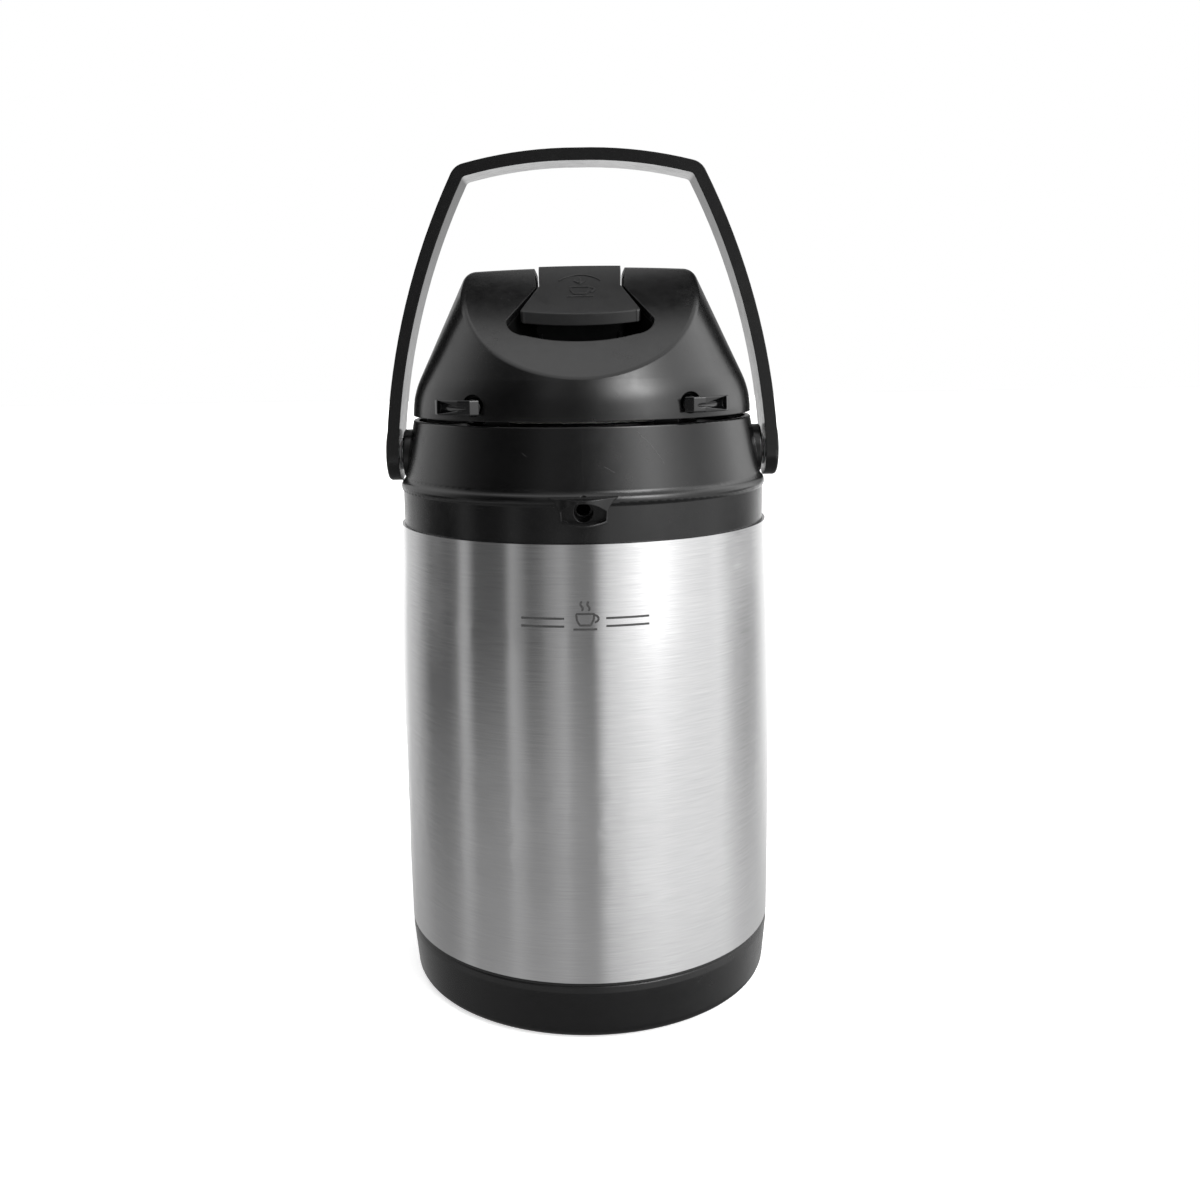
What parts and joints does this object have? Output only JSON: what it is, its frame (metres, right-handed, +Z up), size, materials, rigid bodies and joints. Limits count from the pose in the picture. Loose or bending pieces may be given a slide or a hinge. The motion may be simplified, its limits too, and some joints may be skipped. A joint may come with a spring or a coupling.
{
  "type": "thermal coffee airpot",
  "caption": "Insulated steel airpot with hinged pump lid, press lever, front pouring beak, side-pivoted carrying handle and lid latch.",
  "frame": {"origin": "centre of the flat resting face under the foot pad", "axes": "+Z up along the flask's axis; the pouring beak points to -Y, the lid hinge is at +Y, +X is the right side seen from the front"},
  "size_m": [0.1758, 0.1768, 0.3734],
  "materials": {
    "brushed_shell": "satin stainless steel brushed around the body",
    "liner_steel": "smooth stainless steel",
    "tube_steel": "polished stainless tube",
    "pin_steel": "bright steel",
    "black_plastic": "satin moulded polypropylene",
    "lever_plastic": "fine-textured moulded plastic",
    "gloss_black": "glossy moulded plastic",
    "grey_plastic": "food-safe moulded plastic",
    "silicone": "translucent white silicone",
    "black_rubber": "soft rubber"
  },
  "bodies": {
    "jug": {"outer_shell": "brushed_shell", "inner_liner": "liner_steel", "shell_bottom": "liner_steel", "vacuum_seal_cap": "liner_steel", "base_ring": "black_plastic", "foot_pad": "black_rubber", "collar": "black_plastic", "neck_seal": "silicone", "shoulder_ring": "black_rubber", "riser_tube": "tube_steel", "riser_tube_foot": "grey_plastic", "tube_coupler": "silicone", "delivery_duct": "black_plastic", "lid_hinge_pin": "pin_steel", "pivot_pin_left": "pin_steel", "pivot_pin_right": "pin_steel"},
    "lid": {"lid_shell": "black_plastic", "lid_base": "grey_plastic", "lid_gasket": "silicone", "lid_screws": "pin_steel", "lever_tray": "black_plastic", "lever_pin": "pin_steel", "bellows": "black_rubber", "return_spring": "pin_steel", "air_nozzle": "grey_plastic", "air_valve": "silicone", "latch_pin": "pin_steel", "latch_spring": "pin_steel"},
    "lever": {"pump_lever": "lever_plastic"},
    "pump": {"plunger": "grey_plastic"},
    "latch": {"latch_bar": "black_plastic", "latch_tab_left": "gloss_black", "latch_tab_right": "gloss_black"},
    "bail": {"bail_handle": "black_plastic", "bail_bush_left": "grey_plastic", "bail_bush_right": "grey_plastic"}
  },
  "joints": [
    {"name": "lid_hinge", "type": "hinge", "parent": "jug", "child": "lid", "pos_m": [0, 0.0816, 0.256], "axis": [-1, 0, 0], "range_deg": [0, 80]},
    {"name": "lever_press", "type": "hinge", "parent": "lid", "child": "lever", "pos_m": [0, 0.048, 0.304], "axis": [1, 0, 0], "range_deg": [0, 12], "stiffness_Nm_per_rad": 6, "springref_deg": -5.73},
    {"name": "plunger_slide", "type": "slide", "parent": "lid", "child": "pump", "axis": [0, 0, -1], "range_m": [0, 0.0089], "deforming": ["bellows", "return_spring"]},
    {"name": "latch_lift", "type": "hinge", "parent": "lid", "child": "latch", "pos_m": [0, -0.042, 0.266], "axis": [-1, 0, 0], "range_deg": [0, 5], "stiffness_Nm_per_rad": 2, "springref_deg": -5.73},
    {"name": "bail_swing", "type": "hinge", "parent": "jug", "child": "bail", "pos_m": [0, 0, 0.2417], "axis": [1, 0, 0], "range_deg": [-80, 80]}
  ],
  "couplings": [
    {"joint": "plunger_slide", "follows": "lever_press", "m_per_rad": 0.0417},
    {"joint": "bail_swing", "follows": "lid_hinge", "ratio": 1}
  ]
}
